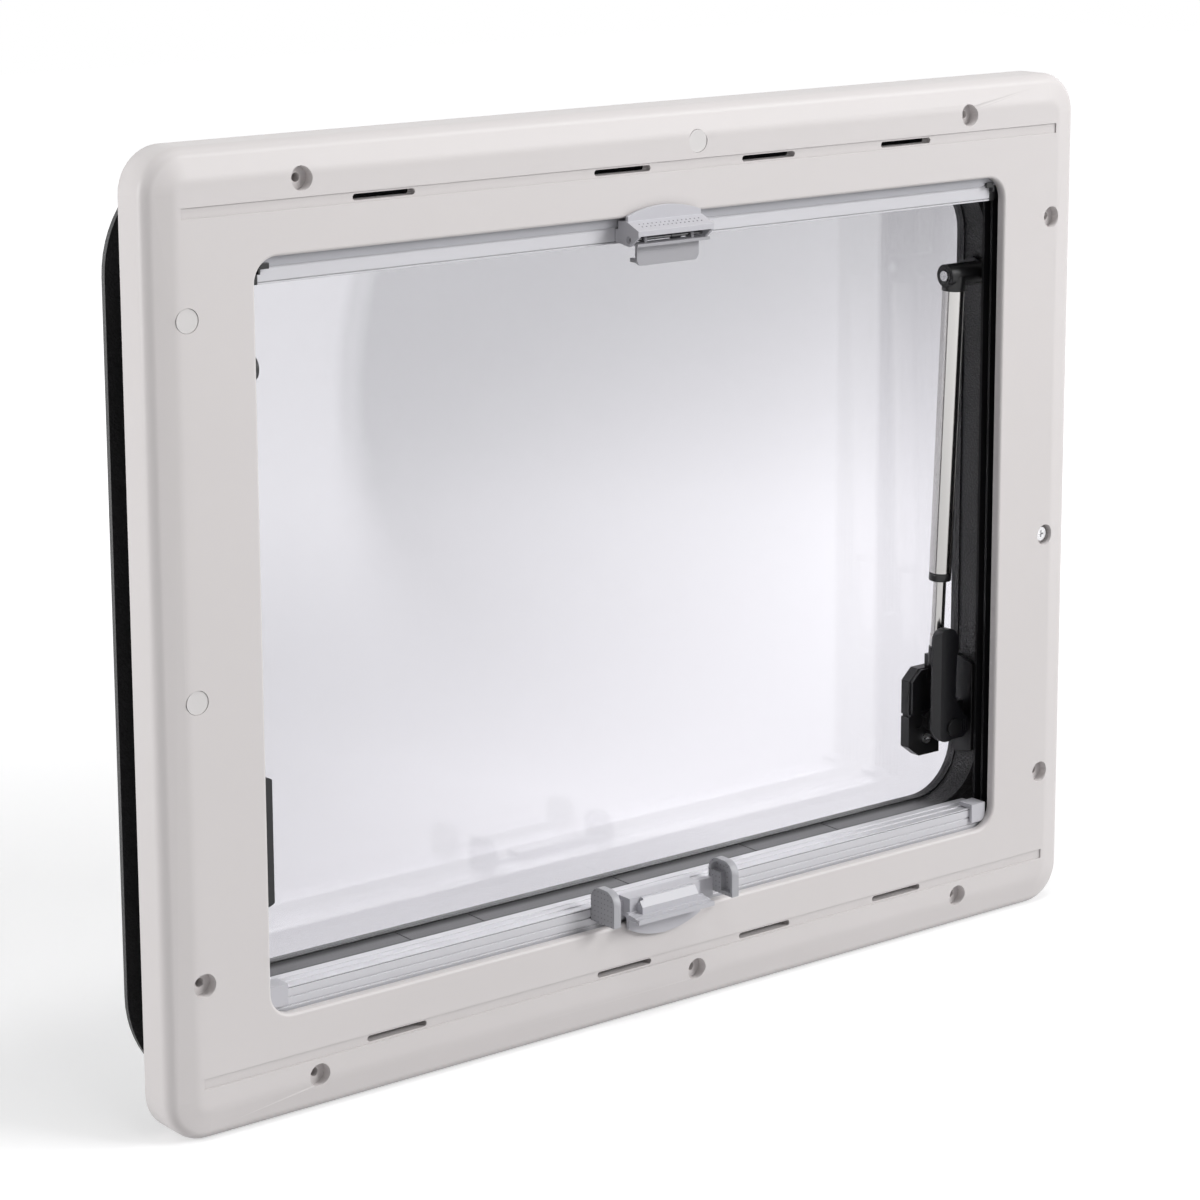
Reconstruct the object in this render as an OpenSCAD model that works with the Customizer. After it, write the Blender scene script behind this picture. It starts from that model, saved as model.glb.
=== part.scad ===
// Hinged window for a caravan wall, seen from the living space.
// Clamped through a cut-out: a light inner frame on the lining, a dark outer frame in the hole,
// and a double acrylic sash outside, held shut by two levers and carried on two telescopic stays.
// X runs to the right, Y out through the wall, Z up. The origin lies on the face of the outer
// flange that bears on the wall, at the middle of its lower side.

/* [Wall] */
// Width of the hole in the wall
cutout_w = 700; // [560:10:1000]
// Height of the hole in the wall
cutout_h = 550; // [500:10:700]
// Thickness of the wall
wall_t = 26; // [24:1:34]

/* [Inner frame] */
// How far the frame laps over the wall on each side
lap_side = 15; // [12:1:30]
// How far the frame laps over the wall at top and bottom
lap_top = 17.5; // [14:0.5:30]
// Distance from the lining to the front face
frame_depth = 31; // [29:1:40]
// Corner radius of the frame
frame_r = 27; // [26:1:40]
// Thickness of the moulding
skin = 2.6; // [2.2:0.1:3.2]
// Width of the sloped margin
rim_band = 22; // [18:1:25]
// How far the sloped margin falls
rim_drop = 5; // [2:0.5:7]
// Rounding between the margin and the side of the frame
rim_round = 8; // [5:0.5:10]
// From the edge of the frame to the opening at the sides
side_band = 69.5; // [62:0.5:85]
// From the edge of the frame to the opening at top and bottom
top_band = 66; // [58:0.5:80]
// Corner radius of the opening
view_r = 15; // [10:1:30]
// Depth of the lip round the opening
lip_depth = 6; // [4:0.5:8]
// Rounding of the front edge of the lip
lip_round = 2; // [1:0.25:2.25]
// Spacing of the stiffening ribs
rib_pitch = 60; // [40:5:120]
// Thickness of a stiffening rib
rib_t = 1.8; // [1.2:0.1:2.6]

/* [Screw points] */
// Distance of the upper and lower screws from the edge of the frame
row_in = 22.8; // [20:0.1:25]
// Distance of the outer ones in those rows from the side of the frame
corner_in = 102.4; // [70:0.1:130]
// Place of the middle screw along the upper and lower rows
screw_mid_x = 29.7; // [0:0.1:60]
// Distance of the side screws from the side of the frame
side_in = 24.5; // [20:0.1:26]
// Distance of the outer side screws from the top and bottom of the frame
side_end_in = 97; // [85:0.5:120]
// Height of the middle side screws
side_mid_y = -25.5; // [-60:0.5:60]
// Diameter of the counterbore
cbore_d = 14.5; // [12:0.5:16]
// Depth of the counterbore
cbore_depth = 7; // [5:0.5:10]
// Diameter of the screw hole
hole_d = 5.5; // [4.5:0.1:6.5]
// Wall round the counterbore
boss_wall = 2.2; // [1.6:0.1:3]
// Diameter of the screw shank
shank_d = 4.2; // [3:0.1:4.4]
// Diameter of the screw head
head_d = 9.5; // [8:0.5:11]

/* [Grooves and air slots] */
// Distance of the groove from the top and bottom of the frame
groove_in = 36.7; // [34:0.1:40]
// Width of the groove
groove_w = 6.5; // [5:0.5:8]
// Depth of the groove
groove_depth = 1; // [0.5:0.1:1.4]
// Length of an air slot
slot_l = 43.7; // [30:0.1:60]
// Width of an air slot
slot_w = 3.8; // [3:0.1:4.8]
// Places of the slots along the groove, as shares of its half length
slot_share = [-0.6, -0.086, 0.2566, 0.6];

/* [Outer frame] */
// Width of the frame inside the cut-out at the sides
neck_w = 39; // [34:1:45]
// Width of the frame inside the cut-out at top and bottom
neck_h = 58; // [52:1:64]
// How far the clear opening sits above the middle
clear_up = 2.5; // [0:0.5:5]
// Clearance to the cut-out
neck_gap = 1.5; // [0.5:0.5:2]
// Gap from the frame to the lining's side
clamp_gap = 4; // [2:0.5:5]
// Corner radius of the clear opening
neck_r = 36.5; // [30:0.5:50]
// Corner radius of the cut-out
cutout_r = 60; // [50:1:70]
// Height of the step beside the seal
neck_step = 1; // [0.5:0.1:1.5]
// Places of the joints in the lower wall, as shares of its half length
joint_share = [-0.547, -0.367, 0.006, 0.357, 0.592];
// Width of those joints
joint_w = 0.8; // [0.5:0.1:1.5]
// How far the flange laps over the outer wall
flange_lap = 10; // [8:1:25]
// Thickness of the flange
flange_t = 3.5; // [3.5:0.5:5]
// Width of the post under each screw point
post_d = 9; // [8:0.5:10]
// Width of the seal
seal_w = 10; // [8:1:14]
// Height of the seal above its seat
seal_t = 2.5; // [2:0.5:3]

/* [Sash] */
// How far the sash stays inside the line of the cut-out
sash_in = 4; // [2:0.5:8]
// Corner radius of the sash
sash_r = 57; // [50:1:66]
// Thickness of each pane
pane_t = 2.8; // [2:0.1:4]
// Gap between the flat panes
pane_gap = 20; // [18:1:28]
// Width of the joined edge of the panes
weld_w = 14; // [10:1:20]
// Rounding of the outer pane
pane_round = 14; // [8:1:16]

/* [Blinds] */
// Gap from a cassette to the screw points
cassette_gap = 9; // [5:0.5:12]
// Depth of a cassette
cassette_depth = 25; // [23:0.5:26]
// Wall of a cassette
cassette_t = 1.6; // [1.2:0.1:2]
// Height of the strip that shows under the upper cassette
strip_h = 6; // [4:0.5:7]
// Thickness of that strip
strip_t = 1.5; // [1:0.25:1.75]
// Width of a side guide
guide_w = 12; // [10:0.5:14]
// Depth of a side guide
guide_depth = 20.4; // [19:0.1:21]
// Width of a channel in the guide
channel_w = 5.5; // [4.5:0.5:5.5]
// Wall between the channels
channel_wall = 2; // [1.5:0.25:2.25]
// Play between a bar and the lip at each end
bar_play = 1.5; // [1:0.25:3]
// Height of the screen's bar
screen_bar_h = 12; // [10:0.5:14]
// Depth of the screen's bar
screen_bar_depth = 8; // [6:0.5:10]
// Height of the blind's bar
blind_bar_h = 16.5; // [15:0.5:18]
// Depth of the blind's bar
blind_bar_depth = 21; // [18:0.5:22]
// Wall of a bar
bar_t = 1.3; // [1.2:0.1:1.8]
// Play of a tongue in its channel
tongue_play = 0.5; // [0.25:0.05:1]
// Length of the dark end of the screen's bar
screen_end_l = 5; // [4:0.5:8]
// Length of a cap on the end of the blind's bar
blind_cap_l = 13.5; // [10:0.5:16]
// Height of that cap
blind_cap_h = 13; // [10:0.5:14]

/* [Grips] */
// Width of each grip
grip_w = 60; // [54:1:70]
// Thickness of the walls of a grip
grip_t = 2.2; // [1.8:0.1:2.5]
// Height of the arched plate of a grip
arch_h = 8.4; // [7:0.1:10]
// Reach of a grip in front of the frame
grip_reach = 15; // [13:0.5:18]
// Width of the hanging flap
flap_w = 49; // [42:1:52]
// Drop of the flap under the opening's edge
flap_drop = 29.3; // [27:0.1:34]
// Diameter of the flap's pin
grip_pin_d = 2.4; // [2:0.1:3]
// Width of the block on the blind's grip
block_w = 46; // [36:1:50]
// Distance of a hook from the middle of the blind's grip
hook_x = 48.5; // [44:0.5:60]
// Thickness of a hook
hook_t = 5.5; // [5:0.5:7]
// Height of a hook
hook_h = 23; // [20:0.5:25]

/* [Stays] */
// Distance of the stays from the side of the clear opening
stay_in = 26; // [24:0.5:30]
// Height of the lower pivot over the clear opening's lower edge
stay_up = 102; // [98:0.5:110]
// Distance of the upper pivot below the clear opening's upper edge
stay_down = 62.5; // [58:0.5:80]
// Depth of the upper pivot behind the lining
stay_top_depth = 5; // [4:0.5:8]
// Depth of the lower pivot behind the lining
stay_low_depth = 17; // [15:0.5:19]
// Diameter of the tube
tube_d = 15.5; // [13:0.5:16.5]
// Wall of the tube
tube_t = 1; // [0.8:0.1:1.6]
// Length of rod that shows below the tube
rod_shown = 39; // [25:0.5:60]
// Diameter of the rod
rod_d = 9; // [7:0.5:10]
// Length of the black ring on the tube
ring_l = 6; // [4:0.5:8]
// Length of the elbow below the upper pivot
elbow_l = 10.5; // [10:0.5:14]
// Length of the steel fitting on the rod
foot_l = 9; // [7:0.5:12]

/* [Latches] */
// Height of the lever's pivot over the clear opening's lower edge
pivot_up = 54.5; // [50:0.5:60]
// Length of the lever
lever_l = 80.5; // [70:0.5:86]
// Width of the lever
lever_w = 18.6; // [17:0.2:21]
// Thickness of the lever
lever_t = 7; // [6:0.5:7.5]
// Depth of the lever's face in front of the lining
lever_face = 1; // [0:0.5:1.5]
// Length of the lever below its pivot
lever_tail = 9.5; // [8:0.5:12]
// How far the lever stands to the inside of its pivot
lever_offset = 5.8; // [5:0.2:6.6]
// Width of the bevel on the lever's inner edge
lever_bevel = 3; // [2:0.5:5]
// Reach of the nose from the pivot
nose_reach = 19; // [16:0.5:20]
// Height of the nose
nose_h = 10; // [8:0.5:11]
// Diameter of the pivot pin
pin_d = 8; // [7:0.5:8.5]
// Radial clearance on the pin
pin_gap = 0.1; // [0.05:0.01:0.15]
// Width of the latch base
base_w = 29; // [26:0.5:31]
// Height of the latch base
base_h = 63; // [58:0.5:66]
// Depth of the latch base
base_depth = 8; // [7:0.5:10]
// Thickness of the keeper on the frame
keeper_t = 3; // [2:0.5:4]
// Height of the keeper
keeper_h = 71; // [60:0.5:76]

/* [Hidden] */
$fn = 64;

frame_half_w = cutout_w / 2 + lap_side;
frame_half_h = cutout_h / 2 + lap_top;
view_half_w = frame_half_w - side_band;
view_half_h = frame_half_h - top_band;
clear_half_w = cutout_w / 2 - neck_w;
clear_half_h = cutout_h / 2 - neck_h;
clear_low = clear_up - clear_half_h;
// Face of the outer frame's side wall, past its step
wall_x = clear_half_w + neck_step;
// Heights over the lining, towards the room
plate_under = frame_depth - skin;
lip_under = frame_depth - lip_depth;
wall_out = -wall_t;
step_top = wall_out + 3;
flange_out = wall_out - flange_t;
// Level of the seal's seat, on which the outer frame stands in the flange
seat = flange_out + seal_t;
pane_in = flange_out - 0.5;
guide_low = plate_under - guide_depth;
rear_channel = guide_low + channel_wall;
front_channel = rear_channel + channel_w + channel_wall;
bar_front = front_channel + channel_w;
bar_half_l = view_half_w - bar_play;
guide_x = view_half_w + skin;
cassette_y = view_half_h + skin;

// Screw points as [x, y], with those that are capped and the one that holds a screw
screw_row = frame_half_h - row_in;
screw_side = frame_half_w - side_in;
side_end_y = frame_half_h - side_end_in;
corner_points = [for (x = [-1, 1], y = [-1, 1]) [x * (frame_half_w - corner_in), y * screw_row]];
middle_points = [for (y = [-1, 1]) [screw_mid_x, y * screw_row]];
side_points = [for (x = [-1, 1], y = [side_end_y, side_mid_y, -side_end_y]) [x * screw_side, y]];
screw_points = concat(corner_points, middle_points, side_points);
cap_points = [
    [screw_mid_x, screw_row],
    [-screw_side, side_end_y],
    [-screw_side, side_mid_y]
];
screwed_point = [screw_side, side_mid_y];
cassette_h = screw_row - cbore_d / 2 - boss_wall - cassette_gap - cassette_y;

LIGHT = [0.855, 0.84, 0.83];
GREY = [0.72, 0.72, 0.74];
ALUMINIUM = [0.86, 0.87, 0.88];
STEEL = [0.78, 0.78, 0.8];
DARK = [0.09, 0.09, 0.1];
BLACK = [0.04, 0.04, 0.045];
CLEAR = [0.86, 0.85, 0.9, 0.35];

// Stands a piece up in the wall. Its own x runs right and y up from the middle of the cut-out,
// and its own z is the height over the lining, towards the room.
module on_wall()
{
    translate([0, -wall_t, (cutout_h + flange_lap) / 2])
        rotate([90, 0, 0])
            children();
}

// The right-hand piece, or its mirror image on the left
module on_side(left)
{
    if (left)
        mirror([1, 0, 0])
            children();
    else
        children();
}

// Runs a profile along x, centred. The profile's x is the piece's y and its y is the height.
module along_x(length)
{
    translate([-length / 2, 0, 0])
        rotate([90, 0, 90])
            linear_extrude(length)
                children();
}

module rounded_rect(w, h, r)
{
    square([w - 2 * r, h], center = true);
    square([w, h - 2 * r], center = true);
    for (x = [-1, 1], y = [-1, 1])
        translate([x * (w / 2 - r), y * (h / 2 - r)])
            circle(r);
}

// Outline of the clear opening, wider by grow on every side
module clear_outline(grow)
{
    translate([0, clear_up])
        rounded_rect(2 * (clear_half_w + grow), 2 * (clear_half_h + grow), neck_r + grow);
}

// Outline of the frame in the cut-out
module neck_outline()
{
    rounded_rect(cutout_w - 2 * neck_gap, cutout_h - 2 * neck_gap, cutout_r - neck_gap);
}

// Carries a profile round a rounded rectangle. The profile's x runs outwards from the
// centre of the corner and its y is the height over the lining.
module swept_ring(half_w, half_h, r)
{
    for (side = [0 : 3]) {
        across = (side % 2 == 0 ? half_w : half_h) - r;
        run = (side % 2 == 0 ? half_h : half_w) - r;
        rotate([0, 0, 90 * side])
            translate([across, run, 0]) {
                rotate([90, 0, 0])
                    linear_extrude(2 * run)
                        children();
                rotate_extrude(angle = 90)
                    children();
            }
    }
}

// Head of a screw with a cross recess, standing on z = 0
module cross_head(d, h)
{
    difference() {
        cylinder(d = d, h = h);
        for (a = [0, 90])
            rotate([0, 0, a])
                translate([-d / 4, -d / 16, h / 2])
                    cube([d / 2, d / 8, h]);
    }
}

// Area under the sloped margin and its rounding, down to height low
module margin_area(edge, top, fillet, low)
{
    start = frame_r - rim_band;
    slope = atan(rim_drop / rim_band);
    cx = edge - fillet;
    cy = top - (cx - start) * tan(slope) - fillet / cos(slope);
    polygon([
        [start, low],
        [edge, low],
        [edge, cy],
        [cx, cy],
        [cx + fillet * sin(slope), cy + fillet * cos(slope)],
        [start, top]
    ]);
    translate([cx, cy])
        circle(fillet);
}

module margin_profile()
{
    difference() {
        margin_area(frame_r, frame_depth, rim_round, 0);
        margin_area(frame_r - skin, frame_depth - skin, rim_round - skin, -1);
    }
}

module lip_profile()
{
    translate([view_r + lip_round, lip_under])
        square([skin - lip_round, lip_depth]);
    translate([view_r, lip_under])
        square([skin, lip_depth - lip_round]);
    translate([view_r + lip_round, frame_depth - lip_round])
        intersection() {
            circle(lip_round);
            translate([-lip_round, 0])
                square(lip_round);
        }
}

module front_plate()
{
    translate([0, 0, plate_under])
        linear_extrude(skin)
            difference() {
                rounded_rect(2 * (frame_half_w - rim_band), 2 * (frame_half_h - rim_band),
                    frame_r - rim_band);
                rounded_rect(2 * (view_half_w + lip_round), 2 * (view_half_h + lip_round),
                    view_r + lip_round);
            }
}

module groove(y)
{
    half_l = frame_half_w - rim_band;
    translate([-half_l, y - groove_w / 2, frame_depth - groove_depth])
        cube([2 * half_l, groove_w, skin]);
    for (share = slot_share)
        translate([share * half_l, y, plate_under - 1])
            linear_extrude(2 * skin)
                rounded_rect(slot_l, slot_w, slot_w / 2 - 0.05);
}

// Ribs behind the sloped margin, between its side wall and the flat face
module ribs()
{
    reach = rim_band - skin / 2;
    inset = reach / 2 + skin / 2;
    rib_low = 8;
    rib_h = plate_under - rim_drop - 2 - rib_low;
    count_x = floor(frame_half_w / rib_pitch);
    count_y = floor((frame_half_h - frame_r) / rib_pitch);
    for (s = [-1, 1]) {
        for (i = [-count_x + 1 : count_x - 1])
            translate([i * rib_pitch - rib_t / 2, s * (frame_half_h - inset) - reach / 2, rib_low])
                cube([rib_t, reach, rib_h]);
        for (i = [-count_y : count_y])
            translate([s * (frame_half_w - inset) - reach / 2, i * rib_pitch - rib_t / 2, rib_low])
                cube([reach, rib_t, rib_h]);
    }
}

module inner_frame()
{
    groove_y = frame_half_h - groove_in;
    color(LIGHT)
        on_wall()
            difference() {
                union() {
                    swept_ring(frame_half_w, frame_half_h, frame_r)
                        margin_profile();
                    front_plate();
                    swept_ring(view_half_w + skin, view_half_h + skin, view_r + skin)
                        lip_profile();
                    for (p = screw_points)
                        translate([p[0], p[1], 0])
                            cylinder(d = cbore_d + 2 * boss_wall, h = frame_depth - 2);
                    ribs();
                }
                for (p = screw_points)
                    translate([p[0], p[1], 0]) {
                        translate([0, 0, frame_depth - cbore_depth])
                            cylinder(d = cbore_d, h = cbore_depth + 1);
                        translate([0, 0, -1])
                            cylinder(d = hole_d, h = frame_depth);
                    }
                groove(groove_y);
                groove(-groove_y);
            }
}

module screw_caps()
{
    cap_gap = 0.2;
    cap_t = 2;
    color(LIGHT)
        on_wall()
            for (p = cap_points)
                translate([p[0], p[1], frame_depth - cbore_depth]) {
                    cylinder(d = head_d, h = cbore_depth - cap_t);
                    translate([0, 0, cbore_depth - cap_t - 0.5])
                        cylinder(d = cbore_d - 2 * cap_gap, h = cap_t);
                }
}

module frame_screw()
{
    head_t = 3.2;
    grip_l = 12;
    shank_l = frame_depth - cbore_depth + grip_l;
    color(STEEL)
        on_wall()
            translate([screwed_point[0], screwed_point[1], frame_depth - cbore_depth]) {
                cross_head(head_d, head_t);
                translate([0, 0, -shank_l])
                    cylinder(d = shank_d, h = shank_l);
            }
}

// Ring in the cut-out, with a step round the clear opening, joints in its lower wall
// and a post under each screw point
module outer_frame()
{
    joint_depth = 1;
    joint_y = clear_low - neck_step - joint_depth;
    color(DARK)
        on_wall()
            difference() {
                union() {
                    translate([0, 0, seat])
                        linear_extrude(-clamp_gap - seat)
                            difference() {
                                neck_outline();
                                clear_outline(0);
                            }
                    for (p = screw_points)
                        translate([p[0], p[1], -clamp_gap])
                            cylinder(d = post_d, h = clamp_gap);
                }
                translate([0, 0, step_top])
                    linear_extrude(wall_t)
                        clear_outline(neck_step);
                for (share = joint_share)
                    translate([share * clear_half_w - joint_w / 2, joint_y, step_top])
                        cube([joint_w, joint_depth + 1, wall_t]);
                for (p = screw_points)
                    translate([p[0], p[1], -16])
                        cylinder(d = shank_d + 0.3, h = 20);
            }
}

// Flange on the outer wall, with a seat for the frame in the cut-out and room for the seal
module outer_flange()
{
    color(DARK)
        on_wall()
            difference() {
                translate([0, 0, flange_out])
                    linear_extrude(flange_t)
                        difference() {
                            rounded_rect(cutout_w + 2 * flange_lap, cutout_h + 2 * flange_lap,
                                cutout_r + flange_lap);
                            clear_outline(seal_w);
                        }
                translate([0, 0, seat])
                    linear_extrude(flange_t)
                        neck_outline();
            }
}

module frame_seal()
{
    color(BLACK)
        on_wall()
            translate([0, 0, pane_in])
                linear_extrude(seat - pane_in)
                    difference() {
                        clear_outline(seal_w - 0.5);
                        clear_outline(0);
                    }
}

sash_half_w = cutout_w / 2 - sash_in;
sash_half_h = cutout_h / 2 - sash_in;

module sash_inner_pane()
{
    color(CLEAR)
        on_wall()
            translate([0, 0, pane_in - pane_t])
                linear_extrude(pane_t)
                    rounded_rect(2 * sash_half_w, 2 * sash_half_h, sash_r);
}

// Area under the outer pane: flat, then rounded down at its edge
module outer_pane_area(edge, rise, round_r)
{
    start = sash_r - weld_w - round_r + edge;
    square([start, rise]);
    translate([start, 0])
        square([round_r, rise - round_r]);
    translate([start, rise - round_r])
        intersection() {
            circle(round_r);
            square(round_r);
        }
}

module outer_pane_profile()
{
    translate([sash_r - weld_w - 1, 0])
        square([weld_w + 1, pane_t]);
    difference() {
        outer_pane_area(0, pane_gap + pane_t, pane_round);
        translate([0, -1])
            outer_pane_area(-pane_t, pane_gap + 1, pane_round - pane_t);
    }
}

module sash_outer_pane()
{
    color(CLEAR)
        on_wall()
            translate([0, 0, pane_in - pane_t])
                mirror([0, 0, 1]) {
                    swept_ring(sash_half_w, sash_half_h, sash_r)
                        outer_pane_profile();
                    translate([0, 0, pane_gap])
                        linear_extrude(pane_t)
                            square([2 * (sash_half_w - sash_r), 2 * (sash_half_h - sash_r)], center = true);
                }
}

rail_t = 3;
rail_y = sash_half_h + 2;
rail_h = cutout_h / 2 + flange_lap - rail_y;
hinge_l = 2 * (sash_half_w - sash_r);
bead_r = 3;
bead_y = rail_y + rail_h / 2;
claw_r = bead_r + 2.3;
bead_z = flange_out - rail_t - claw_r - 0.5;

module hinge_rail()
{
    color(DARK)
        on_wall()
            along_x(hinge_l) {
                translate([rail_y, flange_out - rail_t])
                    square([rail_h, rail_t]);
                translate([bead_y - bead_r / 2, bead_z])
                    square([bead_r, flange_out - bead_z]);
                translate([bead_y, bead_z])
                    circle(bead_r);
            }
}

module sash_hinge_profile()
{
    sash_back = pane_in - 2 * pane_t;
    arm_t = 2;
    arm_y = sash_half_h - weld_w + 2;
    mouth = 2 * bead_r + 0.4;
    color(DARK)
        on_wall()
            along_x(hinge_l)
                difference() {
                    union() {
                        translate([bead_y, bead_z])
                            circle(claw_r);
                        translate([arm_y, sash_back - arm_t])
                            square([bead_y - arm_y, arm_t]);
                    }
                    translate([bead_y, bead_z])
                        circle(bead_r + 0.3);
                    translate([bead_y - mouth / 2, bead_z])
                        square([mouth, claw_r + 1]);
                }
}

// Hollow case of a rolled blind, with a slot for the cloth. The upper one faces down.
module cassette_profile(slot_low)
{
    difference() {
        translate([cassette_y, plate_under - cassette_depth])
            square([cassette_h, cassette_depth]);
        translate([cassette_y + cassette_t, plate_under - cassette_depth + cassette_t])
            square([cassette_h - 2 * cassette_t, cassette_depth - 2 * cassette_t]);
        translate([cassette_y - 1, slot_low])
            square([cassette_t + 2, channel_w - 1.5]);
    }
}

module upper_cassette()
{
    color(ALUMINIUM)
        on_wall() {
            along_x(2 * (guide_x + guide_w))
                cassette_profile(front_channel);
            translate([-bar_half_l, view_half_h - strip_h, lip_under - strip_t])
                cube([2 * bar_half_l, strip_h + skin + cassette_t / 2, strip_t]);
        }
}

module lower_cassette()
{
    color(ALUMINIUM)
        on_wall()
            mirror([0, 1, 0])
                along_x(2 * (guide_x + guide_w))
                    cassette_profile(rear_channel);
}

module guide(left)
{
    color(BLACK)
        on_wall()
            on_side(left)
                translate([0, cassette_y, 0])
                    rotate([90, 0, 0])
                        linear_extrude(2 * cassette_y)
                            difference() {
                                translate([guide_x, guide_low])
                                    square([guide_w, guide_depth]);
                                for (z = [rear_channel, front_channel])
                                    translate([guide_x - 1, z])
                                        square([guide_w - 1.5, channel_w]);
                            }
}

module guide_left() guide(true);
module guide_right() guide(false);

screen_bar_y = view_half_h - strip_h + 1.5 - screen_bar_h;

module screen_bar()
{
    line_w = 0.6;
    color(ALUMINIUM)
        on_wall()
            along_x(2 * (bar_half_l - screen_end_l))
                difference() {
                    translate([screen_bar_y, bar_front - screen_bar_depth])
                        square([screen_bar_h, screen_bar_depth]);
                    translate([screen_bar_y + bar_t, bar_front - screen_bar_depth + bar_t])
                        square([screen_bar_h - 2 * bar_t, screen_bar_depth - 2 * bar_t]);
                    translate([screen_bar_y + 1, bar_front - line_w])
                        square([line_w, 1]);
                }
}

// Dark ends of the screen's bar, each with a tongue in the guide and a catch over the strip
module screen_bar_ends()
{
    catch_t = 1.4;
    catch_l = 11;
    catch_z = lip_under + 0.1;
    catch_y = view_half_h - strip_h - 0.2;
    color(BLACK)
        on_wall()
            for (s = [-1, 1])
                on_side(s < 0) {
                    translate([bar_half_l - screen_end_l, screen_bar_y, bar_front - screen_bar_depth])
                        cube([screen_end_l, screen_bar_h, screen_bar_depth]);
                    translate([bar_half_l - 1, screen_bar_y + 1, front_channel + tongue_play])
                        cube([guide_w, screen_bar_h - 2, channel_w - 2 * tongue_play]);
                    translate([bar_half_l - screen_end_l, catch_y - 4, bar_front - 1])
                        cube([1.5, 4, catch_z + catch_t - bar_front + 1]);
                    translate([bar_half_l - catch_l, catch_y - 1, catch_z])
                        cube([catch_l - 4.5, 3.5, catch_t]);
                }
}

blind_bar_y = -cassette_y;
blind_bar_top = blind_bar_y + blind_bar_h;
// Lower edge of what stands on the blind's bar, clear of the lip
grip_low = -view_half_h + 2;

module blind_bar()
{
    line_depth = 0.6;
    color(ALUMINIUM)
        on_wall()
            along_x(2 * bar_half_l)
                difference() {
                    translate([blind_bar_y, bar_front - blind_bar_depth])
                        square([blind_bar_h, blind_bar_depth]);
                    translate([blind_bar_y + bar_t, bar_front - blind_bar_depth + bar_t])
                        square([blind_bar_h - 2 * bar_t, blind_bar_depth - 2 * bar_t]);
                    for (line = [[0.6, 0.5], [6, 1], [11.3, 1]])
                        translate([blind_bar_top - line[0] - line[1], bar_front - line_depth])
                            square([line[1], 1]);
                    for (line = [[3, 5], [11, 4]])
                        translate([blind_bar_top - line_depth, bar_front - line[0] - line[1]])
                            square([1, line[1]]);
                }
}

// Caps on the ends of the blind's bar, over its front and top, each with a tongue in the guide
module blind_bar_ends()
{
    cap_t = 2.5;
    corner_r = 5;
    cap_top = blind_bar_top + 3;
    cap_low = cap_top - blind_cap_h;
    cap_in = bar_half_l - blind_cap_l;
    cap_out = bar_half_l - 1;
    color(GREY)
        on_wall()
            for (s = [-1, 1])
                on_side(s < 0) {
                    translate([0, 0, bar_front])
                        linear_extrude(cap_t) {
                            translate([cap_in, cap_low])
                                square([cap_out - corner_r - cap_in, blind_cap_h]);
                            translate([cap_in, cap_low + corner_r])
                                square([cap_out - cap_in, blind_cap_h - corner_r]);
                            translate([cap_out - corner_r, cap_low + corner_r])
                                circle(corner_r);
                        }
                    translate([cap_in, blind_bar_top, bar_front - 10])
                        cube([cap_out - cap_in, cap_top - blind_bar_top, 11]);
                    translate([bar_half_l, blind_bar_y + 2, bar_front - blind_bar_depth])
                        cube([1, blind_bar_h - 4, blind_bar_depth]);
                    translate([bar_half_l, blind_bar_y + 4, rear_channel + tongue_play])
                        cube([guide_w - 1, 10, channel_w - 2 * tongue_play]);
                }
}

// Plate from y = 0 up to h, with an arched top that rises by arch between its ends
module arched_plate(w, h, arch)
{
    arch_r = w * w / 8 / arch + arch / 2;
    intersection() {
        translate([0, h - arch_r])
            circle(arch_r, $fn = 180);
        translate([-w / 2, 0])
            square([w, h]);
    }
}

// Places on the grips, from the edge of the opening and from the front of the frame
plate_low = frame_depth + 1;
plate_top = plate_low + 2.5;
lip_front = frame_depth + grip_reach;
cover_y = view_half_h - 1.8;
web_y = view_half_h - 7;
web_low = view_half_h - 15;
grip_pin_y = view_half_h - 12.8;
grip_pin_z = plate_top + 1.6;

// Side of the screen's grip, from the bar round to the lip of its shelf
module cheek_area()
{
    polygon([
        [web_low, bar_front],
        [web_y, bar_front],
        [web_y, lip_under + 1],
        [cover_y, lip_under + 1],
        [cover_y, plate_top],
        [view_half_h - 6.6, lip_front - 1.3],
        [view_half_h - 10.3, lip_front - 0.3],
        [view_half_h - 17.1, plate_top + 2.6]
    ]);
}

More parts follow.
